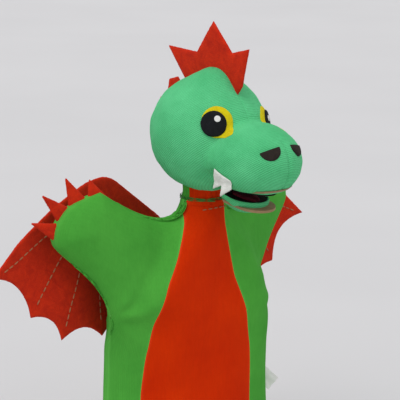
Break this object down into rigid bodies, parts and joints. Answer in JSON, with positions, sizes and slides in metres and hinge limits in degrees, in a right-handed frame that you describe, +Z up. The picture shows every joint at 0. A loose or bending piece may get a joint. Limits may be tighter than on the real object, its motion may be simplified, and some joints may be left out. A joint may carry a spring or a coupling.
{
  "type": "moving mouth hand puppet",
  "caption": "Dragon glove puppet with a stuffed head, a mouth that opens, swinging sleeve arms and flapping felt wings, worn over a hand.",
  "frame": {"origin": "centre of the hand opening in the hem", "axes": "+Z up towards the head, -Y the way the head faces, -X towards the puppet's right arm"},
  "size_m": [0.268, 0.1285, 0.3015],
  "materials": {
    "belly_cotton": "plain woven cotton",
    "green_cotton": "plain woven cotton",
    "label_satin": "smooth woven tape",
    "green_knit": "fine knit over stuffing",
    "stuffing": "loose fibre",
    "board": "uncoated grey board",
    "black_lining": "matt black cotton",
    "maroon_felt": "felt",
    "yellow_felt": "felt",
    "black_felt": "felt",
    "white_print": "felt dot",
    "brown_felt": "felt",
    "white_felt": "felt",
    "binding_thread": "wound sewing thread",
    "red_felt": "wool-look felt"
  },
  "bodies": {
    "glove": {"belly_panel": "belly_cotton", "side_panel_right": "green_cotton", "side_panel_left": "green_cotton", "back_panel_right": "green_cotton", "back_panel_left": "green_cotton", "hem_turning": "green_cotton", "care_label": "label_satin"},
    "neck": {"neck_binding": "binding_thread"},
    "head": {"head_cover": "green_knit", "head_filling": "stuffing", "finger_tube": "board", "palate_board": "board", "palate_lining": "black_lining", "eye_yellow_right": "yellow_felt", "eye_yellow_left": "yellow_felt", "pupil_right": "black_felt", "pupil_left": "black_felt", "eye_glint_right": "white_print", "eye_glint_left": "white_print", "nostril_right": "brown_felt", "nostril_left": "brown_felt", "tooth_strip_right": "white_felt", "tooth_strip_left": "white_felt", "crest_front": "red_felt", "crest_rear": "red_felt"},
    "jaw": {"jaw_cover": "green_knit", "jaw_filling": "stuffing", "jaw_board": "board", "jaw_lining": "black_lining", "tongue": "maroon_felt"},
    "arm_right": {"arm_right_front": "green_cotton", "arm_right_back": "green_cotton", "claws_right": "red_felt"},
    "arm_left": {"arm_left_front": "green_cotton", "arm_left_back": "green_cotton", "claws_left": "red_felt"},
    "wing_right": {"wing_right": "red_felt"},
    "wing_left": {"wing_left": "red_felt"}
  },
  "joints": [
    {"name": "head_turn", "type": "hinge", "parent": "glove", "child": "neck", "pos_m": [0, -0.016, 0.1905], "axis": [0, 0, 1], "range_deg": [-40, 40]},
    {"name": "head_nod", "type": "hinge", "parent": "neck", "child": "head", "pos_m": [0, -0.016, 0.1955], "axis": [1, 0, 0], "range_deg": [-10, 14]},
    {"name": "jaw_open", "type": "hinge", "parent": "head", "child": "jaw", "pos_m": [0, -0.04, 0.199], "axis": [1, 0, 0], "range_deg": [-6, 26]},
    {"name": "arm_right_swing", "type": "hinge", "parent": "glove", "child": "arm_right", "pos_m": [-0.04714, -0.00396, 0.156], "axis": [0.486, -0.144, 0.862], "range_deg": [0, 50]},
    {"name": "arm_left_swing", "type": "hinge", "parent": "glove", "child": "arm_left", "pos_m": [0.04714, -0.00396, 0.156], "axis": [0.486, 0.144, -0.862], "range_deg": [0, 50]},
    {"name": "wing_right_flap", "type": "hinge", "parent": "glove", "child": "wing_right", "pos_m": [-0.015, 0.028, 0.16], "axis": [0, 0, -1], "range_deg": [0, 45]},
    {"name": "wing_left_flap", "type": "hinge", "parent": "glove", "child": "wing_left", "pos_m": [0.015, 0.028, 0.16], "axis": [0, 0, 1], "range_deg": [0, 45]}
  ]
}
